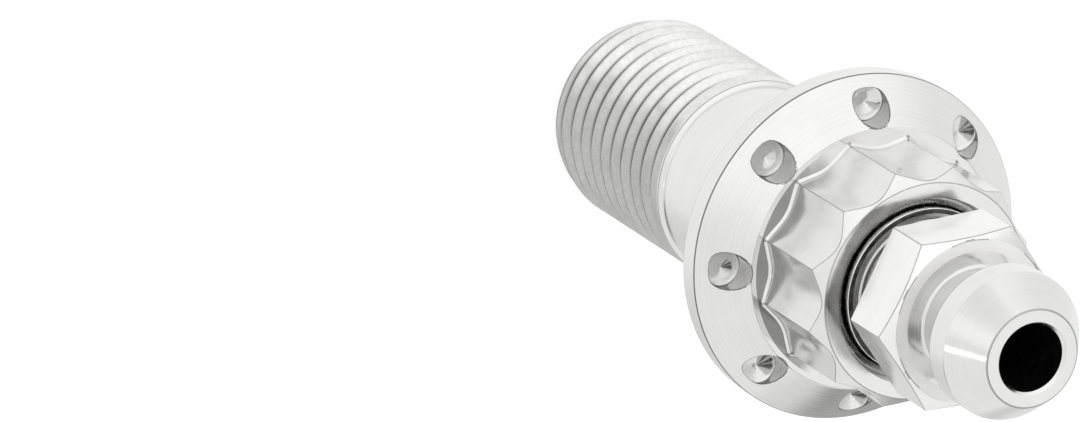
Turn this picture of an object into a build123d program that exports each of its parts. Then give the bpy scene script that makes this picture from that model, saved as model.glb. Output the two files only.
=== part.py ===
"""M10 banjo bolt with a bleed nipple, in millimetres.

The bolt stands on its threaded end, with its axis on Z and the centre of the end face at the origin.
It is two turned pieces: the bolt itself, and the bleed nipple that screws into its head.
"""
from build123d import *
from math import cos, radians, tan
import os

# --- bolt: shank -------------------------------------------------------------
under_head_length = 20.0      # end face to the flange's sealing face
thread_diameter = 9.8         # M10 x 1 external thread, over its crests
thread_pitch = 1.0
thread_length = 11.1
thread_start_angle = 238.3    # where the groove crosses the end face
groove_stop = 1.0             # top of the thread down to the middle of the groove's end
thread_runout = 0.2           # bevel from the thread down to the waist
end_chamfer_height = 1.2      # lead-in at the threaded end
end_chamfer_width = 0.4       # radial
waist_relief = 0.2            # radial, from the thread's crests down to the waist in the banjo eye
fluid_bore_diameter = 3.6
cross_hole_diameter = 2.5
cross_hole_below_head = 6.0   # at the middle of the banjo eye
cross_hole_angle = 95.0       # direction of the cross hole about the axis

# --- bolt: flange --------------------------------------------------------------
flange_diameter = 16.6
flange_rim_height = 1.1
rim_edge_break = 0.12
flange_cone_top_diameter = 12.6
flange_cone_height = 1.8

# --- bolt: drilled pockets round the flange cone ---------------------------------
pocket_count = 8
pocket_diameter = 1.82
pocket_circle_diameter = 14.2
pocket_point_angle = 160.0    # included angle of the drill point
pocket_tip_above_rim = 0.32   # drill tip over the top edge of the rim
pocket_phase = 80.8

# --- bolt: twelve-point head -----------------------------------------------------
head_across_flats = 10.0
head_height = 4.95            # from the top of the flange cone
head_valley_fillet = 2.4
head_phase = 20.5
head_chamfer_width = 0.62     # radial, at the corners
head_chamfer_height = 0.6

# --- bolt: tapped hole for the nipple ----------------------------------------------
tapped_hole_diameter = 7.96   # M8 x 1 internal thread, plain in this model
tapped_hole_depth = 7.0
mouth_depth = 0.45            # countersink at the mouth, at 45 degrees
seat_angle = 90.0             # conical seat, included angle

# --- bleed nipple -------------------------------------------------------------------
running_clearance = 0.08      # nipple thread to tapped hole, on the radius
seat_gap = 0.06               # nipple cone to its seat, along the axis
nipple_tip_diameter = 2.6
nipple_shank_diameter = 5.2   # plain shank between the cone and the thread
nipple_shank_length = 2.4
nipple_cross_hole_diameter = 1.6
nipple_cross_hole_angle = 10.0
nipple_lead_in = 0.4          # bevel at the start of the thread
nipple_relief_diameter = 6.9  # groove between the thread and the hexagon
nipple_relief_height = 1.6
hexagon_above_head = 1.4      # underside of the hexagon over the bolt's top
hexagon_across_flats = 8.0
hexagon_height = 3.0
hexagon_chamfer_width = 0.77  # radial, at the corners
hexagon_chamfer_height = 0.35
hexagon_phase = 40.0
neck_diameter = 5.0
neck_length = 2.0
barb_diameter = 7.0
barb_back_height = 0.35       # bevel behind the land
barb_land_height = 1.3
barb_cone_height = 1.9
nose_diameter = 4.65
nipple_bore_diameter = 3.2
nose_countersink_diameter = 3.4
nose_countersink_depth = 0.12
nipple_bore_point_angle = 118.0

# --- form of the 60 degree thread, worked out from its pitch ------------------------------
thread_depth = 0.55 * thread_pitch
groove_reach = 0.08 * thread_pitch      # how far the cutter stands out past the crests
groove_root_width = 0.2 * thread_pitch
groove_mouth_width = groove_root_width + 2 * (thread_depth + groove_reach) * tan(radians(30))
groove_start = -(1 + thread_start_angle / 360) * thread_pitch
bar_end = -3 * thread_pitch             # end of the bar before it is cut to length

# --- diameters worked out from the thread's -------------------------------------------------
end_face_diameter = thread_diameter - 2 * end_chamfer_width
waist_diameter = thread_diameter - 2 * waist_relief

# --- heights worked out from the sizes above ------------------------------------------
rim_top = under_head_length + flange_rim_height
cone_top = rim_top + flange_cone_height
head_top = cone_top + head_height
hole_bottom = head_top - tapped_hole_depth
mouth_diameter = tapped_hole_diameter + 2 * mouth_depth
seat_slope = tan(radians(seat_angle / 2))
seat_bottom = hole_bottom - (tapped_hole_diameter - fluid_bore_diameter) / 2 / seat_slope
nipple_thread_diameter = tapped_hole_diameter - 2 * running_clearance
shank_bottom = hole_bottom + seat_gap - (tapped_hole_diameter - nipple_shank_diameter) / 2 / seat_slope
nipple_bottom = shank_bottom - (nipple_shank_diameter - nipple_tip_diameter) / 2 / seat_slope
thread_bottom = shank_bottom + nipple_shank_length
hexagon_bottom = head_top + hexagon_above_head
relief_bottom = hexagon_bottom - nipple_relief_height
hexagon_top = hexagon_bottom + hexagon_height
neck_top = hexagon_top + neck_length
land_bottom = neck_top + barb_back_height
land_top = land_bottom + barb_land_height
nose_top = land_top + barb_cone_height


def corner_radius(across_flats):
    """Distance from the centre of a hexagon to its corners."""
    return across_flats / 2 / cos(radians(30))


def outline(*points):
    """Closed outline through (radius, height) points, to revolve about Z."""
    with BuildSketch(Plane.XZ) as section:
        with BuildLine():
            Polyline(*points, close=True)
        make_face()
    return section.sketch


def corner_waste(corner, top, width, drop):
    """Section of the metal that a chamfer takes off the corners round the top of a polygon."""
    flat_radius = corner - width
    outside = corner + 1
    return outline(
        (flat_radius, top),
        (outside, top),
        (outside, top - drop / width * (outside - flat_radius)),
    )


# --- the drill that makes the flange pockets, standing over the rim ---------------------
with BuildPart() as pocket_drill:
    point_height = pocket_diameter / 2 / tan(radians(pocket_point_angle / 2))
    upwards = (Align.CENTER, Align.CENTER, Align.MIN)
    with Locations((0, 0, rim_top + pocket_tip_above_rim)):
        Cone(0, pocket_diameter / 2, point_height, align=upwards)
    with Locations((0, 0, rim_top + pocket_tip_above_rim + point_height)):
        Cylinder(pocket_diameter / 2, flange_cone_height, align=upwards)

# --- the metal that the thread's groove takes out, wound up the shank --------------------
with BuildPart() as thread_groove:
    with BuildLine() as winding:
        Helix(
            thread_pitch,
            thread_length - groove_stop - groove_start,
            thread_diameter / 2 - thread_depth,
            center=(0, 0, groove_start),
        )
    with BuildSketch(Plane(winding.line @ 0, x_dir=(1, 0, 0), z_dir=winding.line % 0)):
        with BuildLine():
            Polyline(
                (0, -groove_root_width / 2),
                (thread_depth + groove_reach, -groove_mouth_width / 2),
                (thread_depth + groove_reach, groove_mouth_width / 2),
                (0, groove_root_width / 2),
                close=True,
            )
        make_face()
    sweep(is_frenet=True)

# --- the bolt ---------------------------------------------------------------------------
with BuildPart() as banjo_bolt:
    # the shank starts over-long, so that the groove runs in from beyond its end face
    revolve(
        outline(
            (fluid_bore_diameter / 2, bar_end),
            (thread_diameter / 2, bar_end),
            (thread_diameter / 2, thread_length),
            (waist_diameter / 2, thread_length + thread_runout),
            (waist_diameter / 2, under_head_length),
            (flange_diameter / 2 - rim_edge_break, under_head_length),
            (flange_diameter / 2, under_head_length + rim_edge_break),
            (flange_diameter / 2, rim_top),
            (flange_cone_top_diameter / 2, cone_top),
            (tapped_hole_diameter / 2, cone_top),
            (tapped_hole_diameter / 2, hole_bottom),
            (fluid_bore_diameter / 2, seat_bottom),
        ),
        axis=Axis.Z,
    )

    # the thread, then the end face and its chamfer, which cut the bar to length
    add(thread_groove.part, mode=Mode.SUBTRACT)
    chamfer_end = end_chamfer_height + thread_pitch
    chamfer_reach = end_chamfer_width / end_chamfer_height * chamfer_end
    revolve(
        outline(
            (0, 0),
            (end_face_diameter / 2, 0),
            (end_face_diameter / 2 + chamfer_reach, chamfer_end),
            (thread_diameter, chamfer_end),
            (thread_diameter, bar_end - thread_pitch),
            (0, bar_end - thread_pitch),
        ),
        axis=Axis.Z,
        mode=Mode.SUBTRACT,
    )

    # twelve-point head: two hexagons, with the valleys between their corners rounded
    with BuildSketch(Plane.XY.offset(cone_top)) as head_outline:
        for turn in (0, 30):
            RegularPolygon(corner_radius(head_across_flats), 6, rotation=head_phase + turn)
        fillet(head_outline.vertices().sort_by_distance((0, 0, cone_top))[:12], radius=head_valley_fillet)
        Circle(tapped_hole_diameter / 2, mode=Mode.SUBTRACT)
    extrude(amount=head_height)
    revolve(
        corner_waste(
            corner_radius(head_across_flats), head_top, head_chamfer_width, head_chamfer_height
        ),
        axis=Axis.Z,
        mode=Mode.SUBTRACT,
    )

    # countersunk mouth of the tapped hole
    revolve(
        outline(
            (0, head_top),
            (mouth_diameter / 2, head_top),
            (tapped_hole_diameter / 2, head_top - mouth_depth),
            (0, head_top - mouth_depth),
        ),
        axis=Axis.Z,
        mode=Mode.SUBTRACT,
    )

    # cross hole through the waist, into the fluid bore
    cross_hole_height = under_head_length - cross_hole_below_head
    with Locations(Location((0, 0, cross_hole_height), (90, cross_hole_angle + 90, 0))):
        Hole(cross_hole_diameter / 2, depth=waist_diameter)

    # drilled pockets round the flange cone
    with PolarLocations(pocket_circle_diameter / 2, pocket_count, start_angle=pocket_phase):
        add(pocket_drill.part, mode=Mode.SUBTRACT)

# --- the bleed nipple ---------------------------------------------------------------------
with BuildPart() as bleed_nipple:
    # sealing cone, shank, thread and the relief groove under the hexagon
    revolve(
        outline(
            (0, nipple_bottom),
            (nipple_tip_diameter / 2, nipple_bottom),
            (nipple_shank_diameter / 2, shank_bottom),
            (nipple_shank_diameter / 2, thread_bottom),
            (nipple_thread_diameter / 2, thread_bottom + nipple_lead_in),
            (nipple_thread_diameter / 2, relief_bottom),
            (nipple_relief_diameter / 2, relief_bottom),
            (nipple_relief_diameter / 2, hexagon_bottom),
            (0, hexagon_bottom),
        ),
        axis=Axis.Z,
    )

    # hexagon, chamfered on its outer face
    with BuildSketch(Plane.XY.offset(hexagon_bottom)):
        RegularPolygon(corner_radius(hexagon_across_flats), 6, rotation=hexagon_phase)
    extrude(amount=hexagon_height)
    revolve(
        corner_waste(
            corner_radius(hexagon_across_flats),
            hexagon_top,
            hexagon_chamfer_width,
            hexagon_chamfer_height,
        ),
        axis=Axis.Z,
        mode=Mode.SUBTRACT,
    )

    # neck, hose barb and nose
    revolve(
        outline(
            (0, hexagon_top),
            (neck_diameter / 2, hexagon_top),
            (neck_diameter / 2, neck_top),
            (barb_diameter / 2, land_bottom),
            (barb_diameter / 2, land_top),
            (nose_diameter / 2, nose_top),
            (0, nose_top),
        ),
        axis=Axis.Z,
    )

    # bore from the nose down to the cross hole, ending in the drill's point
    cross_hole_middle = (shank_bottom + thread_bottom) / 2
    bore_point = nipple_bore_diameter / 2 / tan(radians(nipple_bore_point_angle / 2))
    revolve(
        outline(
            (0, cross_hole_middle - bore_point),
            (nipple_bore_diameter / 2, cross_hole_middle),
            (nipple_bore_diameter / 2, nose_top - nose_countersink_depth),
            (nose_countersink_diameter / 2, nose_top),
            (0, nose_top),
        ),
        axis=Axis.Z,
        mode=Mode.SUBTRACT,
    )
    with Locations(Location((0, 0, cross_hole_middle), (90, nipple_cross_hole_angle + 90, 0))):
        Hole(nipple_cross_hole_diameter / 2, depth=nipple_shank_diameter)

os.makedirs("parts", exist_ok=True)
for name, piece in {"banjo_bolt": banjo_bolt.part, "bleed_nipple": bleed_nipple.part}.items():
    piece.label = name
    export_step(piece, f"parts/{name}.step")
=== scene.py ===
# %% [markdown]
# # A banjo bolt with a bleed nipple
# This lesson dresses a machined brake fitting: a hollow bolt with a threaded shank, a flange with eight
# drilled pockets and a twelve-point head, and the bleed nipple that screws into the head. The plain solids
# come in first as a fixed frame that says where everything sits. The pieces made here replace them with real
# threads, rounded edges and turned steel.

# %% Load the frame
import math
from contextlib import contextmanager

import bmesh
import bpy
import numpy as np
from mathutils import Matrix, Vector
from mathutils.geometry import delaunay_2d_cdt


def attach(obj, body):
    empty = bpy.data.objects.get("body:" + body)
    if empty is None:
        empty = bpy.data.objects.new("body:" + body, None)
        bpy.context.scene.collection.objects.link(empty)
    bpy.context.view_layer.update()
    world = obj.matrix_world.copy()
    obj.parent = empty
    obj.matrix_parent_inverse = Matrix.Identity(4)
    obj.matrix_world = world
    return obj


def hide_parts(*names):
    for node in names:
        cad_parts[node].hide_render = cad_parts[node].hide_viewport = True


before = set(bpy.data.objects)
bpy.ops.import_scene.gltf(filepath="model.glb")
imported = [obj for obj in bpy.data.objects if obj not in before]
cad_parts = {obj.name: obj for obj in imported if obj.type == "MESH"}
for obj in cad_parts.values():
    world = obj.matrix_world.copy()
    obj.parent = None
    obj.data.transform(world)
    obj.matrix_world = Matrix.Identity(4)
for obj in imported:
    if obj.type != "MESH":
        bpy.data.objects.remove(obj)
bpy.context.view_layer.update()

MM = 0.001

# %% [markdown]
# ## The camera
# The bolt stands on its threaded end, and the camera looks down on its nose from one side with a very long
# lens, so that round things keep the shape of clean ellipses. An orthographic camera would be simpler, but a
# real one keeps the slight taper from the nose to the thread.

# %% Camera
camera_right = Vector((0.701390, 0.548255, 0.455488))
camera_up = Vector((-0.459805, 0.836312, -0.298600))
camera_back = Vector((-0.544639, 0.0, 0.838671))
camera_data = bpy.data.cameras.new("long_lens")
camera_data.lens = 400.0
camera_data.sensor_width = 36.0
camera_data.clip_start, camera_data.clip_end = 0.05, 5.0
camera = bpy.data.objects.new("long_lens", camera_data)
camera.matrix_world = Matrix.Translation(Vector((-310.114, -6.527, 474.948)) * MM) @ Matrix(
    (camera_right, camera_up, camera_back)
).transposed().to_4x4()
bpy.context.scene.collection.objects.link(camera)
bpy.context.scene.camera = camera
print("camera stands", round(camera.location.length, 3), "m from the end face")

# %% [markdown]
# ## Sizes
# Lengths are in millimetres and become metres only when a mesh is made. Heights count from the end face
# that the bolt stands on. Sizes that both a shape and its finish need are settled here, so that a dull neck
# ends where the neck does; the others come with the piece that they belong to.

# %% Sizes that shapes and finishes share
# heights, then radii, then the pockets of the flange
THREAD_TOP, RIM, CONE_TOP, HEAD_TOP = 11.1, 21.1, 22.9, 27.85
HEX_BOTTOM, HEX_TOP, NECK_TOP, LAND_LOW, LAND_HIGH, NOSE = 29.25, 32.25, 34.25, 34.6, 35.9, 37.8
BOLT_THREAD, NIPPLE_THREAD, NECK = 4.9, 3.9, 2.5
POCKETS, POCKET_RADIUS, POCKET_CIRCLE, POCKET_PHASE = 8, 0.88, 7.1, 80.8
STEPS = 240  # points in every ring round the axis
print("from the end face to the nose:", NOSE, "mm")

# %% [markdown]
# ## Node trees
# Every finish is a tree of nodes, and so is every shape that repeats. Both are mostly arithmetic, and a long
# chain of Math nodes is hard to read in code. So a node's output is wrapped in a small class: a plus or a
# times sign on it drops the Math node and draws its wires.

# %% Helpers for node trees
def wire(tree, value, socket):
    """Puts a number in a socket, or a link if the value comes out of another node."""
    if isinstance(value, Signal):
        value = value.socket
    if isinstance(value, bpy.types.NodeSocket):
        tree.links.new(value, socket)
    else:
        socket.default_value = value


def calc(tree, operation, *values, clamp=False):
    """The output of one Math node."""
    node = tree.nodes.new("ShaderNodeMath")
    node.operation, node.use_clamp = operation, clamp
    for value, socket in zip(values, node.inputs):
        wire(tree, value, socket)
    return Signal(tree, node.outputs[0])


class Signal:
    """What comes out of a node. Arithmetic on it adds Math nodes to its tree."""

    def __init__(self, tree, socket):
        self.tree, self.socket = tree, socket

    def math(self, operation, *others, clamp=False):
        return calc(self.tree, operation, self, *others, clamp=clamp)

    def __rsub__(self, other):
        return calc(self.tree, "SUBTRACT", other, self)

    def arithmetic(operation):
        return lambda self, other: self.math(operation, other)

    __add__ = __radd__ = arithmetic("ADD")
    __mul__ = __rmul__ = arithmetic("MULTIPLY")
    __sub__, __truediv__ = arithmetic("SUBTRACT"), arithmetic("DIVIDE")


def add_node(tree, kind, output=0, setup=None, **inputs):
    """One output of a new node, with its settings and a value or a link in each of its named inputs."""
    node = tree.nodes.new(kind)
    for label, value in (setup or {}).items():
        setattr(node, label, value)
    for label, value in inputs.items():
        wire(tree, value, node.inputs[label.replace("_", " ")])
    return Signal(tree, node.outputs[output])


def combined(x, y, z):
    """Three numbers as one vector."""
    return add_node(x.tree, "ShaderNodeCombineXYZ", X=x, Y=y, Z=z)


def split(vector):
    """The three numbers of a vector."""
    x = add_node(vector.tree, "ShaderNodeSeparateXYZ", Vector=vector)
    return [Signal(vector.tree, socket) for socket in x.socket.node.outputs]


# %% [markdown]
# ## Finishes in steel
# Every finish is stainless steel, worked in a different way, so the shaders share their parts. The marks of
# a lathe run round the axis: they depend only on the radius and the height of a point, which a few Math
# nodes work out from the object's own coordinates. Noise over those two numbers gives rings, and noise over
# the plain place gives smudges and grain. A picture of scratched metal could be laid over the bolt instead,
# but it would need an unwrap, and its rings would never run true.

# %% Helpers for finishes
def new_finish(name, anisotropy=0.0):
    """A metal, and for a point of it the place in mm, x and y, the radius and the height."""
    material = bpy.data.materials.new(name)
    material.use_nodes = True
    tree = material.node_tree
    shader = tree.nodes["Principled BSDF"].inputs
    shader["Metallic"].default_value, shader["Roughness"].default_value = 1.0, 0.15
    if anisotropy:  # highlights drawn out across the lathe's rings, which are a quarter turn off
        tangent = add_node(tree, "ShaderNodeTangent", setup={"direction_type": "RADIAL", "axis": "Z"})
        wire(tree, tangent, shader["Tangent"])
        shader["Anisotropic"].default_value, shader["Anisotropic Rotation"].default_value = anisotropy, 0.25
    own = add_node(tree, "ShaderNodeTexCoord", "Object")
    place = add_node(tree, "ShaderNodeVectorMath", setup={"operation": "SCALE"}, Vector=own, Scale=1 / MM)
    x, y, z = split(place)
    return material, place, x, y, (x * x + y * y).math("SQRT"), z


def noise(vector, scale, detail):
    """Noise from 0 to 1 with its middle at 0.5, scale features to a millimetre."""
    return add_node(vector.tree, "ShaderNodeTexNoise", Vector=vector, Scale=scale, Detail=detail)


def spread(value, low, high, to_low=0.0, to_high=1.0):
    """A value from low to high, spread smoothly over another range and held at its ends."""
    return add_node(value.tree, "ShaderNodeMapRange", setup={"interpolation_type": "SMOOTHSTEP"},
                    Value=value, From_Min=low, From_Max=high, To_Min=to_low, To_Max=to_high)


def varied(grain, low, high):
    """Noise from low to high. It seldom leaves 0.3 to 0.7, so that is taken for all of it."""
    return spread(grain, 0.3, 0.7, low, high)


def where(mask, share):
    """A factor that is 1 where the mask is 0 and share where it is 1."""
    return spread(mask, 0.0, 1.0, 1.0, share)


def on_edges(tree):
    """1 on the narrow faces that round an edge, 0 elsewhere."""
    return add_node(tree, "ShaderNodeAttribute", "Fac", {"attribute_name": "edge"})


def level_face(tree):
    """1 on faces that look straight up, 0 elsewhere."""
    return spread(split(add_node(tree, "ShaderNodeNewGeometry", "Normal"))[2], 0.96, 0.99)


def painted_side_shade(place, x, y, radius, azimuth, depth):
    """A factor that falls by depth on the side towards azimuth degrees, with a ragged border: painted shade.
    """
    a = math.radians(azimuth)
    turned_to = (x * math.cos(a) + y * math.sin(a)) / radius
    ragged = (noise(place, 0.8, 3.0) - 0.5) * 0.5 + turned_to
    return spread(ragged, 0.35, 0.75, 1.0, 1.0 - depth)


def paint(material, level, rough, relief, depth):
    """Wires a finish: a grey, faintly warm as stainless steel is, a roughness and a relief in mm."""
    tree = material.node_tree
    colour = add_node(tree, "ShaderNodeCombineColor", Red=level, Green=level * 0.998, Blue=level * 0.99)
    bump = add_node(tree, "ShaderNodeBump", Height=relief, Distance=depth * MM)
    shader = tree.nodes["Principled BSDF"].inputs
    wire(tree, colour, shader["Base Color"])
    wire(tree, rough, shader["Roughness"])
    wire(tree, bump, shader["Normal"])
    print(material.name, "has", len(tree.nodes), "nodes")


# %% [markdown]
# ## Turned steel
# The cone, the rim, the waist and the nose were turned and then polished lightly. Fine rings remain, which
# pull reflections into streaks that run towards the axis, so the shader is anisotropic. On the nipple the
# neck is painted darker as painted shade, the cone under the barb is painted lighter as a painted highlight,
# and the edges round the nose are painted as thin dark lines of shade. A height picks each of them out, since
# it is the same all round a turned part.

# %% Turned steel
turned_steel, place, x, y, radius, z = new_finish("turned_steel", anisotropy=0.5)
rings = noise(combined(radius, z, 0.0), 9.0, 3.0)
smudges = noise(place, 0.45, 3.0)
corners = on_edges(place.tree)
from_neck = spread(z, NECK_TOP - 0.05, NECK_TOP + 0.05)
# painted highlight: the barb's underside is made lighter
barb_highlight = from_neck * spread(z, LAND_LOW - 0.05, LAND_LOW, 1.0, 0.0)
level = varied(rings, -0.015, 0.015) + varied(smudges, 0.785, 0.815) + barb_highlight * 0.16
below_barb = spread(z, HEX_TOP - 0.05, HEX_TOP + 0.15) * spread(z, NECK_TOP - 0.05, NECK_TOP + 0.15, 1.0, 0.0)
# painted shade: the neck under the barb is made darker
neck_shade = spread(radius, NECK + 0.06, NECK + 0.16, 1.0, 0.0) * below_barb * (smudges + 0.3)
# painted shade: the rounded edges by the nose are darkened into thin lines
nose_edge_shade = corners * spread(z, NOSE - 0.6, NOSE - 0.4, 1.0, 0.55)
level = level * spread(neck_shade, 0.3, 1.0, 1.0, 0.78) * where(nose_edge_shade, 0.25)
rough = varied(rings, 0.0, 0.06) + spread(smudges, 0.35, 0.65, 0.08, 0.14) + corners * 0.15
paint(turned_steel, level, rough, relief=rings, depth=0.0008)

# %% [markdown]
# ## Thread steel
# The thread is left as it was cut. Its flanks are grainy and greyer than the rest, and its roots are painted
# dark as painted shade. The radius alone tells a root from a crest: the deeper a point lies below the crests,
# the darker it is. The nipple's thinner thread is folded onto the same numbers, since both are cut to nearly
# the same depth. One side of the bolt is painted darker, with a ragged border: painted shade.

# %% Thread steel
thread_steel, place, x, y, radius, z = new_finish("thread_steel", anisotropy=0.3)
on_nipple = radius.math("LESS_THAN", NIPPLE_THREAD + 0.2)
below_crest = BOLT_THREAD - on_nipple * (BOLT_THREAD - NIPPLE_THREAD) - radius
# painted shade: the thread's roots are darkened
root_shade = spread(below_crest, 0.22, 0.46)
grain = noise(place, 4.5, 5.0)
drawn = noise(combined(radius, z, y.math("ARCTAN2", x) * 0.8), 14.0, 3.0)
smudges = noise(place, 0.5, 3.0)
level = varied(grain, -0.05, 0.05) + varied(smudges, 0.74, 0.82) + varied(drawn, -0.03, 0.03)
# painted shade: darker on one side of the bolt and in the roots
level = level * painted_side_shade(place, x, y, radius, azimuth=234.0, depth=0.34) * where(root_shade, 0.1)
rough = varied(grain, 0.0, 0.1) + varied(drawn, 0.16, 0.24)
paint(thread_steel, level, rough, relief=grain + drawn * 0.5, depth=0.004)

# %% [markdown]
# ## Milled steel
# The points of the head and the flats of the hexagon were cut from the side, and the tops were faced. The
# cutter leaves a faint wave and fine strokes; the faced tops show rings instead. One shader serves both:
# strokes drawn over the radius and the height cross a flat that stands upright, and they close into rings
# on a level top, because there the height does not change. The nipple is brighter than the bolt, level tops
# are painted lighter as painted light, the nipple's top is matt, and painted shade darkens one side of the
# head's foot and the rounded edges.

# %% Milled steel
milled_steel, place, x, y, radius, z = new_finish("milled_steel", anisotropy=0.4)
strokes = noise(combined(radius, z, 0.0), 8.0, 3.0)
waves = noise(place, 0.9, 2.0)
corners = on_edges(place.tree)
faced = level_face(place.tree)
on_nipple = spread(z, HEAD_TOP, HEX_BOTTOM)
level = varied(strokes, -0.02, 0.02) + varied(waves, 0.78, 0.82)
# painted light: level tops are made a little lighter, the nipple's top more
level = level + faced * 0.03 + on_nipple * spread(faced, 0.0, 1.0, 0.1, 0.16)
foot = faced * spread(z, CONE_TOP + 0.1, CONE_TOP + 0.3, 1.0, 0.0)
# painted shade: one side of the head's level foot is darkened
foot_side_shade = 1.0 - painted_side_shade(place, x, y, radius, azimuth=218.0, depth=0.6)
# painted shade: the rounded edges are darkened into dark lines
level = level * (1.0 - foot * foot_side_shade) * where(corners, 0.5)
rough = varied(strokes, 0.0, 0.05) + spread(waves, 0.35, 0.65, 0.12, 0.18)
rough = rough + faced * on_nipple * 0.3 + corners * 0.1
paint(milled_steel, level, rough, relief=strokes * 0.2 + waves, depth=0.004)

# %% [markdown]
# ## Drilled steel
# Each pocket shows the drill's own rings, round the pocket and not round the bolt. The pockets are folded
# onto one by taking whole shares of a turn off the angle, and the distance to the pocket's middle draws the
# rings. The steep wall reflects only the pocket's other side, so it is kept darker than the floor.

# %% Drilled steel
drilled_steel, place, x, y, radius, z = new_finish("drilled_steel")
share = 2 * math.pi / POCKETS
turn = y.math("ARCTAN2", x) - math.radians(POCKET_PHASE)
folded = turn - (turn / share).math("ROUND") * share
out = radius * folded.math("COSINE") - POCKET_CIRCLE
aside = radius * folded.math("SINE")
from_middle = (out * out + aside * aside).math("SQRT")
rings = noise(combined(from_middle, z, 0.0), 10.0, 3.0)
grain = noise(place, 6.0, 3.0)
wall = spread(from_middle, POCKET_RADIUS - 0.08, POCKET_RADIUS - 0.02)
level = (varied(rings, -0.04, 0.04) + varied(grain, 0.74, 0.8)) * where(wall, 0.6)
paint(drilled_steel, level, rough=varied(grain, 0.06, 0.12), relief=rings, depth=0.001)

# %% [markdown]
# ## Bore steel
# Down the bores and in the tapped hole hardly any light comes back, and the walls are rough from the drill.
# A near-black, dull metal with coarse grain stands for it: painted shade.

# %% Bore steel
painted_shade_steel, place, x, y, radius, z = new_finish("painted_shade_steel")
scores = noise(combined(radius, z, y.math("ARCTAN2", x)), 6.0, 3.0)
grain = noise(place, 5.0, 4.0)
# painted shade: a near-black level for the faces in the holes
level = varied(scores, 0.03, 0.07) + varied(grain, 0.0, 0.05)
paint(painted_shade_steel, level, rough=varied(grain, 0.3, 0.5), relief=scores, depth=0.003)

# %% [markdown]
# ## Helpers for turned parts
# Nearly every face of this bolt comes off a lathe, so one helper sweeps an outline of radius and height
# round the axis, and another rounds the corners of such an outline. A Screw modifier would do the same, but
# plain arrays let neighbouring parts share a ring of points exactly, so that all of it welds into one skin.

# %% Round the corners of an outline
def rounded(*corners, steps=3):
    """An outline's points, from (radius, height) corners, or (radius, height, rounding) for soft ones."""
    out = []
    for i, corner in enumerate(corners):
        here = np.array(corner[:2], float)
        if len(corner) == 2:
            out.append(here)
            continue
        before = np.array(corners[i - 1][:2], float) - here
        after = np.array(corners[i + 1][:2], float) - here
        before /= np.linalg.norm(before)
        after /= np.linalg.norm(after)
        half = math.acos(float(np.clip(before @ after, -1, 1))) / 2
        bisector = (before + after) / np.linalg.norm(before + after)
        centre = here + bisector * corner[2] / math.sin(half)
        first = here + before * corner[2] / math.tan(half) - centre
        last = here + after * corner[2] / math.tan(half) - centre
        sweep = math.pi - 2 * half
        for t in np.linspace(0, 1, steps + 1):
            swung = math.sin((1 - t) * sweep) * first + math.sin(t * sweep) * last
            out.append(centre + swung / math.sin(sweep))
    return np.array(out)


def ring(radius, height, phase):
    """One ring of points round the axis, the first at phase degrees."""
    a = math.radians(phase) + np.arange(STEPS) * 2 * math.pi / STEPS
    return np.stack([radius * np.cos(a), radius * np.sin(a), np.full(STEPS, float(height))], 1)


def skin(rings, steel=turned_steel):
    """A band of quads through rings with equal numbers of points, as (points, faces, steel)."""
    n = len(rings[0])
    column = np.arange(n)
    after = (column + 1) % n
    faces = [
        np.stack([column + k * n, after + k * n, after + (k + 1) * n, column + (k + 1) * n], 1)
        for k in range(len(rings) - 1)
    ]
    return np.concatenate(rings), np.concatenate(faces), steel


def turned(outline, phase, steel=turned_steel):
    """An outline of (radius, height) points swept round the axis."""
    return skin([ring(r, z, phase) for r, z in outline], steel)


print("a rounded corner:", rounded((1.0, 0.0), (1.0, 1.0, 0.1), (0.0, 1.0)).round(3).tolist())

# %% [markdown]
# ## One welded skin for each body
# The bands are joined, welded where their rings meet, and turned outwards. Small faces that round an edge
# should not pull the shading of the big faces beside them, so every point takes the average of its faces'
# directions weighted by their area, as a Weighted Normal modifier would do. The narrow bent faces are also
# marked, because the finishes treat an edge differently.

# %% Weld the bands into a piece
PIECE_WELD, COLLAPSED = 0.0004, 0.0001  # mm: nearer points are joined, and thinner faces taken away
EDGE_FACE, EDGE_ANGLE = 0.055, math.radians(13)  # narrower and more bent than this is an edge's rounding


def mesh_from(name, points, faces):
    """A plain mesh in metres from points in mm."""
    mesh = bpy.data.meshes.new(name)
    mesh.from_pydata((np.asarray(points) * MM).tolist(), [], [[int(corner) for corner in f] for f in faces])
    return mesh


def placed(name, mesh):
    """A mesh as an object in the scene."""
    holder = bpy.data.objects.new(name, mesh)
    bpy.context.scene.collection.objects.link(holder)
    return holder


@contextmanager
def opened(mesh):
    """A mesh opened for work on its points and faces, and written back when the work is done."""
    work = bmesh.new()
    work.from_mesh(mesh)
    yield work
    work.to_mesh(mesh)
    work.free()


def weld(work, distance):
    """Joins points that are nearer than a distance in mm, and turns all faces outwards."""
    bmesh.ops.remove_doubles(work, verts=work.verts, dist=distance * MM)
    bmesh.ops.dissolve_degenerate(work, edges=work.edges, dist=COLLAPSED * MM)
    bmesh.ops.delete(work, geom=[v for v in work.verts if not v.link_faces], context="VERTS")
    bmesh.ops.recalc_face_normals(work, faces=work.faces)


def rounds_an_edge(face):
    """Whether a face is narrow and bent against a neighbour along one of its long sides."""
    longest = max(e.calc_length() for e in face.edges)
    bent = any(e.calc_face_angle(0) > EDGE_ANGLE and e.calc_length() > longest / 2 for e in face.edges)
    return bent and face.calc_area() / longest < EDGE_FACE * MM


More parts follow.
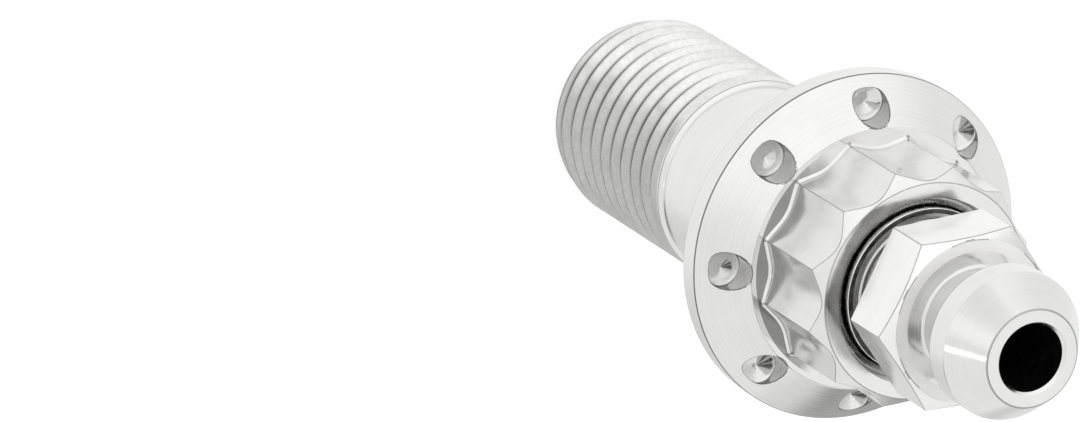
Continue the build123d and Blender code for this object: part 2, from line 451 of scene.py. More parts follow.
def area_normals(mesh):
    """The average direction of the faces round every point, weighted by their area."""
    normals, areas = np.zeros(len(mesh.polygons) * 3), np.zeros(len(mesh.polygons))
    totals, corners = np.zeros(len(mesh.polygons), int), np.zeros(len(mesh.loops), int)
    mesh.polygons.foreach_get("normal", normals)
    mesh.polygons.foreach_get("area", areas)
    mesh.polygons.foreach_get("loop_total", totals)
    mesh.loops.foreach_get("vertex_index", corners)
    sums = np.zeros((len(mesh.vertices), 3))
    np.add.at(sums, corners, np.repeat(normals.reshape(-1, 3) * areas[:, None], totals, axis=0))
    return (sums / np.linalg.norm(sums, axis=1, keepdims=True)).tolist()


def welded(name, parts):
    """A mesh object in metres from (points in mm, faces, steel) parts."""
    points = np.concatenate([part_points for part_points, _, _ in parts])
    steels = list(dict.fromkeys(steel for _, _, steel in parts))
    faces, finishes, start = [], [], 0
    for part_points, part_faces, steel in parts:
        faces += [[corner + start for corner in face] for face in part_faces]
        finishes += [steels.index(steel)] * len(part_faces)
        start += len(part_points)
    mesh = mesh_from(name, points, faces)
    for steel in steels:
        mesh.materials.append(steel)
    mesh.polygons.foreach_set("material_index", finishes)
    with opened(mesh) as work:
        weld(work, PIECE_WELD)
        open_edges = sum(1 for e in work.edges if len(e.link_faces) != 2)
        marked = work.faces.layers.float.new("edge")
        for face in work.faces:
            face[marked] = float(rounds_an_edge(face))
    mesh.polygons.foreach_set("use_smooth", [True] * len(mesh.polygons))
    mesh.normals_split_custom_set_from_vertices(area_normals(mesh))
    mesh.calc_loop_triangles()
    print(name, "faces", len(mesh.polygons), "triangles", len(mesh.loop_triangles), "open edges", open_edges)
    return placed(name, mesh)


# %% [markdown]
# ## Geometry trees
# The thread and all that repeats round the axis are grown by Geometry Nodes. One helper opens a tree with
# named inputs, one closes it by making its copies real, welding them and giving them their steel, and one
# runs it. The inputs are set before a tree runs for the first time, so it never works on defaults.

# %% Helpers for geometry trees
TREE_WELD = 0.0005  # mm: nearer points are joined


def new_tree(name, inputs):
    """A geometry tree with inputs given as (name, kind, value): the tree, its inputs and its end."""
    tree = bpy.data.node_groups.new(name, "GeometryNodeTree")
    tree.interface.new_socket("Geometry", in_out="INPUT", socket_type="NodeSocketGeometry")
    for label, kind, value in inputs:
        socket = tree.interface.new_socket(label, in_out="INPUT", socket_type="NodeSocket" + kind)
        if value is not None:
            socket.default_value = value
    tree.interface.new_socket("Geometry", in_out="OUTPUT", socket_type="NodeSocketGeometry")
    sockets = tree.nodes.new("NodeGroupInput").outputs
    given = {socket.name: Signal(tree, socket) for socket in sockets if socket.name}
    return tree, given, tree.nodes.new("NodeGroupOutput")


def close_tree(tree, geometry, steel, result):
    """Ends a tree: copies made real, their shared points welded, and their steel set."""
    real = add_node(tree, "GeometryNodeRealizeInstances", Geometry=geometry)
    whole = add_node(tree, "GeometryNodeMergeByDistance", Geometry=real, Distance=TREE_WELD * MM)
    clad = add_node(tree, "GeometryNodeSetMaterial", Geometry=whole, Material=steel)
    wire(tree, clad, result.inputs["Geometry"])
    print(tree.name, "has", len(tree.nodes), "nodes")
    return tree


def curve_node(value, points):
    """A value read off a drawing made of straight runs through the points."""
    result = add_node(value.tree, "ShaderNodeFloatCurve", Value=value)
    mapping = result.socket.node.mapping
    curve = mapping.curves[0]
    curve.points[0].location, curve.points[1].location = points[0], points[-1]
    for x, y in points[1:-1]:
        curve.points.new(x, y)
    for point in curve.points:
        point.handle_type = "VECTOR"
    mapping.update()
    return result


def as_part(mesh):
    """The points in mm, faces and steel of a mesh."""
    points = np.zeros(len(mesh.vertices) * 3)
    mesh.vertices.foreach_get("co", points)
    steel = mesh.materials[mesh.polygons[0].material_index]
    return points.reshape(-1, 3) / MM, [tuple(p.vertices) for p in mesh.polygons], steel


def final_mesh(holder):
    """The plain mesh that an object's modifiers make. The object is taken away."""
    bpy.context.view_layer.update()
    mesh = bpy.data.meshes.new_from_object(holder.evaluated_get(bpy.context.evaluated_depsgraph_get()))
    bpy.data.objects.remove(holder)
    return mesh


def grown(name, tree, base, **settings):
    """Runs a tree on a mesh and gives the part that it makes."""
    holder = placed(name, base)
    modifier = holder.modifiers.new(name, "NODES")
    modifier.node_group = tree
    named = {item.name: item.identifier for item in tree.interface.items_tree if item.in_out == "INPUT"}
    for label, value in settings.items():
        modifier[named[label.replace("_", " ")]] = value
    mesh = final_mesh(holder)
    print(name, "grew", len(mesh.polygons), "faces")
    return as_part(mesh)


# %% [markdown]
# ## The thread
# A thread is a groove along a helix, so its depth depends on one number only: how far along the pitch a
# point lies once the climb of the helix is taken off. The tree makes a grid, rolls it round the axis so that
# its rows climb with the helix, and reads the radius off a small drawing of one tooth. Rows that would run
# past the ends are held there, and welding closes them into plain rings. A V swept along a spiral is quicker
# to set up, but it is not part of the shank and has no run-out.

# %% Tree: thread sleeve
PITCH_STEPS = 12  # rows of points to a pitch
ROW_PLACES = [0, 0.05, 0.085, 0.2, 0.31, 0.4, 0.5]  # and where they stand along its first half
ROWS = ROW_PLACES + [1 - w for w in ROW_PLACES[-2::-1]]
TOOTH = [(0, 1), (0.05, 1), (0.085, 0.95), (0.39, 0.04), (0.44, 0), (0.5, 0)]  # (share of pitch, height)
TOOTH = TOOTH + [(1 - w, h) for w, h in TOOTH[-2::-1]]
THREAD_INPUTS = [
    (label, "Float", size * MM)
    for label, size in (
        ("Pitch", 1.0), ("Crest radius", BOLT_THREAD), ("Root radius", 4.35), ("Bottom", 0.0), ("Top", 11.2),
        ("Lead in radius", 4.5), ("Lead in height", 1.2), ("Start fade", 0.3), ("Run out height", 9.9),
        ("Run out fade", 0.4),
    )
] + [
    ("Start angle", "Float", 0.0), ("Steps round", "Int", STEPS), ("Steps per pitch", "Int", PITCH_STEPS),
    ("Steel", "Material", None),
]


def thread_grid(tree, given):
    """The tree's grid, and how far round and how many pitches along each of its points lies."""
    turns = ((given["Top"] - given["Bottom"]) / given["Pitch"]).math("CEIL") + 2.0
    steps = given["Steps per pitch"]
    across = given["Steps round"] + 1.0
    grid = add_node(tree, "GeometryNodeMeshGrid", Vertices_X=across, Vertices_Y=turns * steps + 1.0)
    x, y, _ = split(add_node(tree, "GeometryNodeInputPosition"))
    row = ((y + 0.5) * turns * steps).math("ROUND") / steps
    whole = row.math("FLOOR")
    along = whole + curve_node(row - whole, [(k / PITCH_STEPS, place) for k, place in enumerate(ROWS)])
    return grid, x + 0.5, along


def thread_radius(given, z, around):
    """The radius of the thread at a height, a share of a turn round from its start."""
    pitch, bottom, crest = given["Pitch"], given["Bottom"], given["Crest radius"]
    above = z - bottom
    phase = (above / pitch - around + 4.0).math("FRACT")  # + 4.0 keeps it above 0
    middle = (0.5 - phase) * pitch + z
    start = above.math("DIVIDE", given["Start fade"], clamp=True)
    end = (middle - given["Run out height"]).math("DIVIDE", given["Run out fade"], clamp=True)
    end = end * end * (3.0 - end * 2.0)
    depth = (1.0 - curve_node(phase, TOOTH)) * (start * (1.0 - end))
    radius = crest - depth * (crest - given["Root radius"])
    slope = (crest - given["Lead in radius"]) / given["Lead in height"]
    led_in = radius.math("MINIMUM", (above * slope + given["Lead in radius"]).math("MINIMUM", crest))
    inside = given["Root radius"].math("GREATER_THAN", crest)  # a tapped hole has no lead-in cone
    return inside * radius + (1.0 - inside) * led_in


def thread_tree():
    """The tree that makes a threaded sleeve, round a shank or in a hole."""
    tree, given, result = new_tree("thread_sleeve", THREAD_INPUTS)
    grid, around, along = thread_grid(tree, given)
    climb = (along + around - 1.0) * given["Pitch"] + given["Bottom"]
    z = climb.math("MAXIMUM", given["Bottom"]).math("MINIMUM", given["Top"])
    radius = thread_radius(given, z, around)
    angle = around * (2 * math.pi) + given["Start angle"]
    spot = combined(radius * angle.math("COSINE"), radius * angle.math("SINE"), z)
    rolled = add_node(tree, "GeometryNodeSetPosition", Geometry=grid, Position=spot)
    return close_tree(tree, rolled, given["Steel"], result)


thread_sleeve = thread_tree()


def thread(name, steel, phase, **sizes):
    """A thread as a part, its sizes given in mm."""
    sizes = {label: size * MM for label, size in sizes.items()}
    start = math.radians(phase)
    return grown(name, thread_sleeve, bpy.data.meshes.new(name), Start_angle=start, Steel=steel, **sizes)


# %% [markdown]
# ## Parts that repeat round the axis
# The flange is eight equal sectors, the head is twelve equal points and the nipple's hexagon is six corners.
# One tree serves all three: it sets copies of a sector round the axis and welds their shared sides. An Array
# modifier with an object offset does this too, but it needs a second object for the angle, and the tree
# needs only the count.

# %% Tree: sectors round the axis
def ring_tree():
    """The tree that sets equal copies of a sector round the axis."""
    inputs = [("Count", "Int", POCKETS), ("Steel", "Material", None)]
    tree, given, result = new_tree("sectors_round_the_axis", inputs)
    spots = add_node(tree, "GeometryNodePoints", Count=given["Count"])
    turn = add_node(tree, "GeometryNodeInputIndex") * calc(tree, "DIVIDE", 2 * math.pi, given["Count"])
    spin = add_node(tree, "ShaderNodeCombineXYZ", Z=turn)
    copies = add_node(tree, "GeometryNodeInstanceOnPoints",
                      Points=spots, Instance=given["Geometry"], Rotation=spin)
    return close_tree(tree, copies, given["Steel"], result)


sectors = ring_tree()


def all_round(name, sector, phase, count, steel):
    """A sector, given as (points, faces), set count times round the axis, the first at phase degrees."""
    points, faces = sector
    turn = np.array([[*unit(phase), 0], [*unit(phase + 90), 0], [0, 0, 1]])
    return grown(name, sectors, mesh_from(name, points @ turn, faces), Count=count, Steel=steel)


def sheet(columns):
    """Points and quads of an open sheet, drawn column by column with equal numbers of points."""
    rows = len(columns[0])
    quads = [
        (c * rows + k, (c + 1) * rows + k, (c + 1) * rows + k + 1, c * rows + k + 1)
        for c in range(len(columns) - 1)
        for k in range(rows - 1)
    ]
    return np.concatenate(columns), quads


def unit(degrees):
    """The direction at an angle in degrees, seen from above."""
    return np.array([math.cos(math.radians(degrees)), math.sin(math.radians(degrees))])


def polar(r, a, *z):
    """A place at a radius and an angle, with a height if one is given."""
    return r * math.cos(a), r * math.sin(a), *z


def stepped(r, a, z, steps):
    """Points at given steps inward and up from a place."""
    return [polar(r - inward, a, z + lift) for inward, lift in steps]


def mix(start, end, share):
    """The value a share of the way from start to end."""
    return start * (1 - share) + end * share


# %% [markdown]
# ## The flange and its pockets
# The flange's upper face is a cone, and each pocket is drilled straight down into it beside the head. It
# runs out towards the rim, where the drill's flat point comes through the cone. A Boolean would cut it, but
# leaves long slivers that show up in polished metal. So one eighth of the face is drawn flat, with rings of
# points round the pocket, filled by a Delaunay triangulation and lifted to the right height. That needs the
# pocket's outline first: where the drill's floor meets the cone.

# %% Outline of a pocket
CONE_FOOT_RADIUS, CONE_TOP_RADIUS = 8.3, 6.3
CONE_SLOPE = (CONE_TOP - RIM) / (CONE_FOOT_RADIUS - CONE_TOP_RADIUS)
SHOULDER_SOFT = 0.05  # half width of the rounding where the cone meets the flat
POCKET_TIP, TIP_SOFT = RIM + 0.32, 0.03
POCKET_FLOOR_SLOPE = math.tan(math.radians(10))
POCKET_EDGE, EDGE_WIDTH = 0.05, 0.03  # greatest fall and least width of the rim's rounding
ROUND_POCKET = 72  # points round it
CORNER_POWER = 7.0  # the higher, the sharper the outline turns at the rim


def flange_height(r):
    """Height of the flange's upper face before drilling."""
    t = np.clip((r - CONE_TOP_RADIUS + SHOULDER_SOFT) / (2 * SHOULDER_SOFT), 0, None)
    soft = CONE_TOP - CONE_SLOPE * SHOULDER_SOFT * t * t
    return np.where(t > 1, CONE_TOP - CONE_SLOPE * (r - CONE_TOP_RADIUS), soft)


def pocket_floor(q):
    """Height of the floor at distance q from the pocket's axis, drawn to a soft tip."""
    return POCKET_TIP + POCKET_FLOOR_SLOPE * (np.sqrt(q * q + TIP_SOFT**2) - TIP_SOFT)


def pocket_ring(q):
    """Points seen from above at distance q from the pocket's axis, one in each direction round it."""
    return np.stack([POCKET_CIRCLE + q * np.cos(around_pocket), q * np.sin(around_pocket)], 1)


def pocket_reach():
    """How far the cut reaches in each direction: the drill's radius, or less where the floor runs out."""
    low, high = np.zeros(ROUND_POCKET), np.full(ROUND_POCKET, 2 * POCKET_RADIUS)
    for _ in range(50):
        q = (low + high) / 2
        cut = pocket_floor(q) < flange_height(np.hypot(*pocket_ring(q).T))
        low, high = np.where(cut, q, low), np.where(cut, high, q)
    return (high**-CORNER_POWER + POCKET_RADIUS**-CORNER_POWER) ** (-1 / CORNER_POWER)


around_pocket = (np.arange(ROUND_POCKET) + 0.5) * 2 * math.pi / ROUND_POCKET
reach = pocket_reach()
lip = flange_height(np.hypot(*pocket_ring(reach).T))
wall_depth = lip - pocket_floor(reach)
drop = np.minimum(wall_depth / 2, POCKET_EDGE)  # how far the rim's rounding falls
edge = np.maximum(drop, EDGE_WIDTH)  # and how wide it is, seen from above
print("pocket reaches", reach.min().round(3), "to", reach.max().round(3), "mm from its axis")
print("its wall is up to", wall_depth.max().round(3), "mm deep")

# %% [markdown]
# ## One eighth of the flange
# The sector's points lie on circles round the bolt's axis and on rings round the pocket. Both of its sides
# carry the same points, so that neighbours weld, and the circles at the cone's top are kept as edges, so
# that the triangulation cannot cut that corner. Triangles over the pocket are dropped.

# %% One eighth of the flange
FLANGE_IN, FLANGE_OUT = 6.09, 8.2
FLANGE_PHASE = POCKET_PHASE - 180 / POCKETS
SIDE = math.pi / POCKETS  # the angle from a pocket to its sector's side
RINGS_OUTSIDE = (0.13, 0.2, 0.3)  # rings of points round the pocket's rim
CLEAR_OF_POCKET, CLEAR_OF_BORDER = POCKET_RADIUS + 0.35, 0.03  # where points on circles and rings end
SLIVER = 1e-5  # mm2: smaller triangles lie along the straight sides


def about_pocket(x, y):
    """Distance and direction of a place from the pocket's axis."""
    return np.hypot(x - POCKET_CIRCLE, y), np.arctan2(y, x - POCKET_CIRCLE) % (2 * math.pi)


def read_round(values, direction):
    """A value that is known for every point of the pocket's outline, read in another direction."""
    return np.interp(direction, around_pocket, values, period=2 * math.pi)


def flange_points():
    """Points of the sector seen from above, with the pocket at angle 0, and the edges to keep."""
    index, edges = {}, []

    def add(x, y):
        return index.setdefault((round(x, 6), round(y, 6)), len(index))

    def line(places, closed=False):
        ids = [add(x, y) for x, y in places]
        edges.extend(zip(ids, ids[1:] + ids[:1]) if closed else zip(ids, ids[1:]))

    angles = np.linspace(-SIDE, SIDE, STEPS // POCKETS + 1)
    for t in np.linspace(0, math.pi / 2, 5):
        line(pocket_ring(reach + edge * (1 - math.cos(t))), closed=True)
    for outward in RINGS_OUTSIDE:
        for x, y in pocket_ring(reach + outward):
            if FLANGE_IN + CLEAR_OF_BORDER < math.hypot(x, y) < FLANGE_OUT - CLEAR_OF_BORDER:
                add(x, y)
    shoulder = np.round(CONE_TOP_RADIUS + SHOULDER_SOFT * np.array([-1, -0.5, 0, 0.5, 1]), 4)
    on_cone = np.round(np.linspace(CONE_TOP_RADIUS + 0.2, FLANGE_OUT - 0.15, 10), 4)
    radii = sorted({FLANGE_IN, FLANGE_OUT, *shoulder, *on_cone})
    for r in radii:
        for a in angles:
            on_border = r in (FLANGE_IN, FLANGE_OUT) or abs(abs(a) - SIDE) < 1e-9
            if on_border or about_pocket(*polar(r, a))[0] > CLEAR_OF_POCKET:
                add(*polar(r, a))
    for r in (FLANGE_IN, FLANGE_OUT):
        line([polar(r, a) for a in angles])
    for a in (-SIDE, SIDE):
        line([polar(r, a) for r in radii])
    for r in shoulder:
        fine = [polar(r, a) for a in np.linspace(-SIDE, SIDE, 121)]
        fine = [p for p in fine if about_pocket(*p)[0] > POCKET_RADIUS + POCKET_EDGE + 0.01]
        for side in (-1, 1):
            line([p for p in fine if p[1] * side > 0])
    return list(index), edges


def flange_sector():
    """Points and faces of one eighth of the flange's upper face, in mm, with the pocket at angle 0."""
    points, edges = flange_points()
    flat, _, faces, *_ = delaunay_2d_cdt([Vector(p) for p in points], edges, [], 0, 1e-7, False)
    flat, faces = np.array([tuple(p) for p in flat]), np.array(faces)
    first, second, third = (flat[faces[:, k]] for k in range(3))
    (ux, uy), (vx, vy) = (second - first).T, (third - first).T
    x, y = (first + second + third).T / 3
    q, direction = about_pocket(x, y)
    over_pocket = q < read_round(reach, direction) * math.cos(math.pi / ROUND_POCKET) - 1e-4
    step = 2 * math.pi / STEPS
    from_chord = np.abs(np.arctan2(y, x)) % step - step / 2
    inside_ring = np.hypot(x, y) * np.cos(from_chord) < FLANGE_IN * math.cos(step / 2)
    kept = faces[(np.abs(ux * vy - vx * uy) >= SLIVER) & ~over_pocket & ~inside_ring]
    q, direction = about_pocket(*flat.T)
    t = np.clip(1 - (q - read_round(reach, direction)) / read_round(edge, direction), 0, 1)
    fallen = read_round(drop, direction) * (1 - np.sqrt(np.clip(1 - t * t, 0, 1)))
    return np.column_stack([flat, flange_height(np.hypot(*flat.T)) - fallen]), kept


flange = all_round("flange", flange_sector(), POCKET_PHASE, POCKETS, turned_steel)

# %% [markdown]
# ## The pockets
# What the drill leaves is a short wall, a soft corner and a floor that slopes gently to the drill's tip.
# It starts from the same ring of points at which the flange's face ends, so the two weld without a gap.

# %% Pockets
FLOOR_CORNER = 0.06  # greatest rounding between the wall and the floor


def pocket_cup():
    """Points and faces of the pocket at angle 0, from its rim down to the drill's tip."""
    soft = np.minimum(FLOOR_CORNER, wall_depth / 3)
    rows = [np.column_stack([pocket_ring(reach), lip - drop])]
    for t in np.linspace(0, math.pi / 2, 5):
        height = pocket_floor(reach) + soft * (1 - math.sin(t))
        rows.append(np.column_stack([pocket_ring(reach - soft * (1 - math.cos(t))), height]))
    for share in (0.9, 0.75, 0.6, 0.45, 0.3, 0.15, 0.08, 0.03):
        q = (reach - soft) * share
        rows.append(np.column_stack([pocket_ring(q), pocket_floor(q)]))
    points, quads, _ = skin(rows)
    tip = len(points)
    last = tip - ROUND_POCKET
    fan = [[last + k, last + (k + 1) % ROUND_POCKET, tip] for k in range(ROUND_POCKET)]
    return np.concatenate([points, [[POCKET_CIRCLE, 0, POCKET_TIP]]]), quads.tolist() + fan


pockets = all_round("pockets", pocket_cup(), POCKET_PHASE, POCKETS, drilled_steel)

# %% [markdown]
# ## The twelve-point head
# Two hexagons laid over each other give twelve points, and a cutter has left round valleys between them.
# The walls meet in crisp edges, a small fillet runs round their foot, and a turned chamfer scallops the
# top. One point of the head is drawn column by column from its outline, and the tree sets twelve of them.

# %% One point of the head
HEAD_POINTS, HEAD_FLAT, HEAD_PHASE, HEAD_IN = 12, 5.0, 20.5, 6.03
VALLEY, VALLEY_CIRCLE = 2.4, 7.4  # the valley's radius, and where the cutter stood
HEAD_CORNER_EDGE, HEAD_FOOT_FILLET = 0.05, 0.18
TO_FLAT = math.cos(math.radians(30))  # a hexagon's flat is nearer than its corner by this factor
HEAD_CORNER = HEAD_FLAT / TO_FLAT
HEAD_CHAMFER_IN, HEAD_CHAMFER_SLOPE = HEAD_CORNER - 0.62, 0.6 / 0.62
MOUTH, MOUTH_EDGE, MOUTH_DEPTH, TAPPED = 4.43, 0.03, 0.45, 3.98  # the tapped hole in the head
EDGE_LOW = 0.035  # how far below the chamfer's edge its rounding starts
EDGE_ROUNDING = ((0.008, -0.012), (0.024, 0.006))  # inward and up from that edge
TOP_ROUNDING = ((-0.02, -0.022), (0.005, -0.005), (0.03, 0.0))  # the same where the top starts


def points_round(name, half, column, phase, count):
    """Milled points round the axis, each half an outline and its mirror image with a column at each place."""
    outline = [(p * [1, -1], out * [1, -1]) for p, out in half[:0:-1]] + half
    evenly = np.radians(np.linspace(-180 / count, 180 / count, len(outline)))
    point = sheet([column(p, out, even) for (p, out), even in zip(outline, evenly)])
    return all_round(name, point, phase, count, milled_steel)


def head_outline():
    """Outline of half a point, from its corner to the middle of the valley: places with directions out."""
    corner = (HEAD_FLAT - HEAD_CORNER_EDGE) / TO_FLAT * unit(0)
    nose = [(corner + HEAD_CORNER_EDGE * unit(a), unit(a)) for a in (0, 15, 30)]
    middle = VALLEY_CIRCLE / math.cos(math.radians(15)) * unit(15)
    arc = [(middle - VALLEY * unit(a), unit(a)) for a in (30, 27, 24, 21, 18, 15)]
    (first, out), (last, _) = nose[-1], arc[0]
    flat = [(first + (last - first) * t, out) for t in (1 / 3, 2 / 3)]
    return nose + flat + arc


def head_chamfer(r):
    """Height of the chamfer at a radius."""
    return HEAD_TOP - HEAD_CHAMFER_SLOPE * (r - HEAD_CHAMFER_IN)


def head_column(p, out, even):
    """Points up one line of the head, from its seat on the flange over the chamfer to the hole's mouth."""
    r, a = math.hypot(*p), math.atan2(p[1], p[0])
    top = head_chamfer(r)
    column = [polar(HEAD_IN, even, CONE_TOP)]
    for t in np.linspace(0, math.pi / 2, 6):
        foot = p + out * HEAD_FOOT_FILLET * (1 - math.sin(t))
        column.append((*foot, CONE_TOP + HEAD_FOOT_FILLET * (1 - math.cos(t))))
    column += [(*p, (CONE_TOP + top) / 2), (*p, top - EDGE_LOW)]
    column += stepped(r, a, top, EDGE_ROUNDING)
    for share in (0.35, 0.7):
        rr = mix(r - EDGE_ROUNDING[-1][0], HEAD_CHAMFER_IN + 0.03, share)
        column.append(polar(rr, a, head_chamfer(rr) - 0.006 * (1 - share)))
    column += stepped(HEAD_CHAMFER_IN, a, HEAD_TOP, TOP_ROUNDING)
    for share in (0.5, 1.0):
        rr = mix(HEAD_CHAMFER_IN - TOP_ROUNDING[-1][0], MOUTH + MOUTH_EDGE, share)
        column.append(polar(rr, mix(a, even, share), HEAD_TOP))
    return column


head = points_round("head", head_outline(), head_column, HEAD_PHASE, HEAD_POINTS)
INNER_PHASE = HEAD_PHASE - 180 / HEAD_POINTS

# %% [markdown]
# ## The shank with its cross hole
# Below the flange the shank narrows to a plain waist that sits in the banjo eye, and one hole crosses it
# into the bore so that the brake fluid can turn the corner. The waist is a short tube with few faces, so
# here a Boolean cut is clean. The tube's flat ends are taken off again before it joins its neighbours. The
# nipple's foot is drilled across in the same way, so the cut is a helper.

# %% Waist and cross hole
WAIST, BORE, CROSS_HOLE, CROSS_ANGLE, CROSS_HEIGHT = 4.7, 1.8, 1.25, 95.0, 14.0
TUBE_LOW, TUBE_HIGH = 12.2, 15.8
ROUND_DRILL, FLARE = 64, 0.6  # points round the drill, and how far its flares open


def solid_object(name, part):
    """A welded object from one part, for cutting."""
    points, faces, _ = part
    holder = placed(name, mesh_from(name, points, faces))
    with opened(holder.data) as work:
        weld(work, TREE_WELD)
    return holder


def cross_drill(name, radius, reach, middle, degrees):
    """A drill across the axis, flared where it leaves the metal to break the edge."""
    a = (np.arange(ROUND_DRILL) * 2 * math.pi / ROUND_DRILL)[:, None]
    along, side, up = [*unit(degrees), 0], [*unit(degrees + 90), 0], [0, 0, 1]
    half = [(radius, reach), (radius + FLARE, reach + FLARE), (0, reach + FLARE)]
    rows = [
        np.array([0, 0, middle]) + np.array(along) * x + r * (np.cos(a) * side + np.sin(a) * up)
        for r, x in [(r, -x) for r, x in half[::-1]] + half
    ]
    return solid_object(name, skin(rows))


def cross_drilled(name, outline, caps, phase, drill):
    """A closed outline turned round the axis and drilled, without its flat caps at the given heights."""
    body = solid_object(name, turned(outline, phase))
    modifier = body.modifiers.new("cut", "BOOLEAN")
    modifier.operation, modifier.solver, modifier.object = "DIFFERENCE", "EXACT", drill
    mesh = final_mesh(body)
    bpy.data.objects.remove(drill)
    with opened(mesh) as work:
        flat = [f for f in work.faces if any(all(abs(v.co.z - z * MM) < 1e-7 for v in f.verts) for z in caps)]
        bmesh.ops.delete(work, geom=flat, context="FACES")
    mesh.materials.clear()
    mesh.materials.append(turned_steel)
    print(name, "cut to", len(mesh.polygons), "faces")
    return as_part(mesh)


tube = [(BORE, TUBE_LOW), (WAIST, TUBE_LOW), (WAIST, TUBE_HIGH), (BORE, TUBE_HIGH), (BORE, TUBE_LOW)]
drill = cross_drill("cross_drill", CROSS_HOLE, WAIST - 0.34, CROSS_HEIGHT, CROSS_ANGLE)
waist = cross_drilled("waist", tube, (TUBE_LOW, TUBE_HIGH), FLANGE_PHASE, drill)

# %% [markdown]
# ## The bolt
# The other faces are plain turned bands: the rim under the cone, the bevel at the thread's end, the mouth of
# the tapped hole, its seat for the nipple's cone, and the bore with its countersunk entry. Rings that start
# at different angles would not weld, so each band takes its neighbour's phase, and two short bridges turn
# from one phase to the next. One long outline would be quicker to sweep, but could not hold the pockets.

# %% Weld the bolt
HOLE_BOTTOM, SEAT_BOTTOM, TAPPED_BOTTOM, MOUTH_BOTTOM = 20.85, 18.67, 23.4, HEAD_TOP - MOUTH_DEPTH
FLANGE_FACE, RIM_OUT = 20.0, 8.29
BRIDGE = 0.3  # degrees from the flange's phase to the next ring that starts like the head's inner ones
outer_thread = thread("bolt_thread", thread_steel, FLANGE_PHASE,
                      Top=THREAD_TOP - 0.1, Run_out_height=THREAD_TOP - 1.3)
inner_thread = thread("tapped_thread", painted_shade_steel, INNER_PHASE, Crest_radius=TAPPED, Root_radius=4.33,
                      Bottom=TAPPED_BOTTOM, Top=MOUTH_BOTTOM, Start_fade=0.3,
                      Run_out_height=MOUTH_BOTTOM - 0.85, Run_out_fade=0.3)
rim = rounded((FLANGE_OUT, RIM + (CONE_FOOT_RADIUS - FLANGE_OUT) * CONE_SLOPE),
              (RIM_OUT, RIM + (CONE_FOOT_RADIUS - RIM_OUT) * CONE_SLOPE, 0.1),
              (RIM_OUT, FLANGE_FACE + 0.1, 0.04), (RIM_OUT - 0.1, FLANGE_FACE, 0.04),
              (WAIST, FLANGE_FACE, 0.2), (WAIST, TUBE_HIGH))
bevel_foot, bevel_middle = (WAIST, THREAD_TOP + BOLT_THREAD - WAIST), (BOLT_THREAD - 0.1, THREAD_TOP + 0.1)
run_out = rounded((WAIST, TUBE_LOW), (*bevel_foot, 0.12), bevel_middle, steps=6)
run_out_edge = rounded(bevel_middle, (BOLT_THREAD, THREAD_TOP, 0.05), (BOLT_THREAD, THREAD_TOP - 0.1))
mouth = rounded((MOUTH + MOUTH_EDGE, HEAD_TOP), (MOUTH, HEAD_TOP, 0.02), (TAPPED, MOUTH_BOTTOM))
seat = rounded((TAPPED, TAPPED_BOTTOM), (TAPPED, HOLE_BOTTOM), (BORE, SEAT_BOTTOM), (BORE, TUBE_HIGH + 0.1))
entry = rounded((BORE, TUBE_LOW), (BORE, 0.3), (BORE + 0.3, 0.0), (4.5, 0.0))
under_head = [ring(FLANGE_IN, CONE_TOP, FLANGE_PHASE), ring(HEAD_IN, CONE_TOP, FLANGE_PHASE - BRIDGE)]
in_bore = [ring(BORE, TUBE_HIGH + 0.1, FLANGE_PHASE - BRIDGE), ring(BORE, TUBE_HIGH, FLANGE_PHASE)]
bolt = welded("banjo_bolt_dressed", [
    flange, pockets, skin(under_head), head, turned(rim, FLANGE_PHASE), waist,
    turned(run_out, FLANGE_PHASE), turned(run_out_edge, FLANGE_PHASE), outer_thread,
    turned(mouth, INNER_PHASE), inner_thread, turned(seat, INNER_PHASE, painted_shade_steel),
    skin(in_bore, painted_shade_steel), turned(entry, FLANGE_PHASE),
])

# %% [markdown]
# ## The hexagon of the bleed nipple
# The nipple is a second body, because it turns in the head. It is turned from hexagon bar, so the hexagon
# is what is left of the bar, with a chamfer turned on its top. It is drawn like the head, one corner with
# half a flat on each side. A cylinder with six sides could be bevelled instead, but its top would not end
# in a round ring that the neck can weld to.

# %% One corner of the hexagon
HEX_SIDES, HEX_FLAT, HEX_PHASE = 6, 4.0, 40.0
HEX_CORNER = HEX_FLAT / TO_FLAT
HEX_CHAMFER_IN, HEX_CHAMFER_SLOPE = HEX_CORNER - 0.77, 0.35 / 0.77
HEX_EDGE, HEX_RING_LOW, HEX_RING_TOP = 0.06, 3.62, 3.3
# inward and up from the lower edge, and from the edge of the chamfer
HEX_UNDER = ((0.05, 0.0), (0.015, 0.015), (0.0, 0.05))
HEX_OVER = ((0.0, -0.03), (0.015, -0.006), (0.035, 0.035 * HEX_CHAMFER_SLOPE - 0.001))


def hexagon_outline():
    """Outline from a corner to the middle of a flat: places with directions out."""
    corner = (HEX_FLAT - HEX_EDGE) / TO_FLAT * unit(0)
    nose = [(corner + HEX_EDGE * unit(a), unit(a)) for a in (0, 15, 30)]
    first, out = nose[-1]
    return nose + [(first + (HEX_FLAT * unit(30) - first) * t, out) for t in np.linspace(0, 1, 19)[1:]]


def hexagon_column(p, _, even):
    """Points up one line of the hexagon, from the ring below it to the ring round the neck."""
    r, a = math.hypot(*p), math.atan2(p[1], p[0])
    top = HEX_TOP - HEX_CHAMFER_SLOPE * (r - HEX_CHAMFER_IN)
    column = [polar(HEX_RING_LOW, even, HEX_BOTTOM)]
    column += stepped(r, a, HEX_BOTTOM, HEX_UNDER)
    column.append(polar(r, a, (HEX_BOTTOM + top) / 2))
    column += stepped(r, a, top, HEX_OVER)
    for share in (0.5, 0.9):
        rr = mix(r - HEX_OVER[-1][0], HEX_CHAMFER_IN, share)
        column.append(polar(rr, a, HEX_TOP - HEX_CHAMFER_SLOPE * (rr - HEX_CHAMFER_IN)))
    return column + [polar(HEX_CHAMFER_IN - 0.03, a, HEX_TOP - 0.001), polar(HEX_RING_TOP, even, HEX_TOP)]


